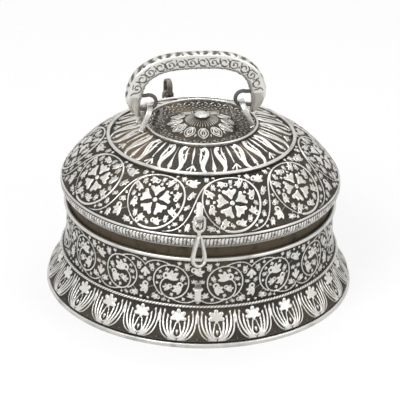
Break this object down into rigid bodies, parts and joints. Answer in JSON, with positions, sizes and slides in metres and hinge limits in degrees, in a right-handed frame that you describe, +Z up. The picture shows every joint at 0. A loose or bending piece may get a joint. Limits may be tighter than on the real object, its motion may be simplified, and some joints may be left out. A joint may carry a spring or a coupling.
{
  "type": "lidded box",
  "caption": "Round footed silver box with chased scrolls, a domed lid on a back hinge, an upright swing handle and a hanging hasp loop at the front.",
  "frame": {"origin": "centre of the foot's underside, on the surface that the box stands on", "axes": "+Z up through the lid's button, -Y towards the hasp at the front, +X to the right seen from the front"},
  "size_m": [0.19, 0.19, 0.1496],
  "materials": {
    "bright_silver": "polished silver, lightly worn",
    "chased_silver": "chased silver sheet with an oxidised ground",
    "dark_silver": "oxidised silver, satin"
  },
  "bodies": {
    "base": {"base_wall": "chased_silver", "foot_ring": "bright_silver", "girdle_wire": "bright_silver", "rim_wire": "bright_silver", "base_floor": "dark_silver", "base_collar": "dark_silver", "base_staple": "bright_silver", "hinge_base_leaf": "bright_silver", "hinge_pin": "bright_silver"},
    "lid": {"lid_dome": "chased_silver", "lid_band": "chased_silver", "lid_edge_wire": "bright_silver", "shoulder_wire": "bright_silver", "inner_ring_wire": "bright_silver", "boss_button": "bright_silver", "lid_staple": "bright_silver", "left_staple": "bright_silver", "right_staple": "bright_silver", "left_beaded_strap": "dark_silver", "right_beaded_strap": "dark_silver", "rear_staple": "dark_silver", "hinge_lid_leaf": "bright_silver"},
    "handle": {"handle": "bright_silver"},
    "hasp": {"hasp": "bright_silver"},
    "rear_ring": {"rear_ring": "dark_silver"}
  },
  "joints": [
    {"name": "lid_hinge", "type": "hinge", "parent": "base", "child": "lid", "pos_m": [0, 0.0922, 0.0572], "axis": [-1, 0, 0], "range_deg": [0, 105]},
    {"name": "handle_swing", "type": "hinge", "parent": "lid", "child": "handle", "pos_m": [-0.00394, -0.00066, 0.112], "axis": [0.9863, 0.165, 0], "range_deg": [-85, 85]},
    {"name": "hasp_swing", "type": "hinge", "parent": "lid", "child": "hasp", "pos_m": [0, -0.0874, 0.0822], "axis": [-1, 0, 0], "range_deg": [0, 50]},
    {"name": "rear_ring_swing", "type": "hinge", "parent": "lid", "child": "rear_ring", "pos_m": [-0.02189, 0.06014, 0.0982], "axis": [-0.9397, -0.342, 0], "range_deg": [-30, 60]}
  ]
}
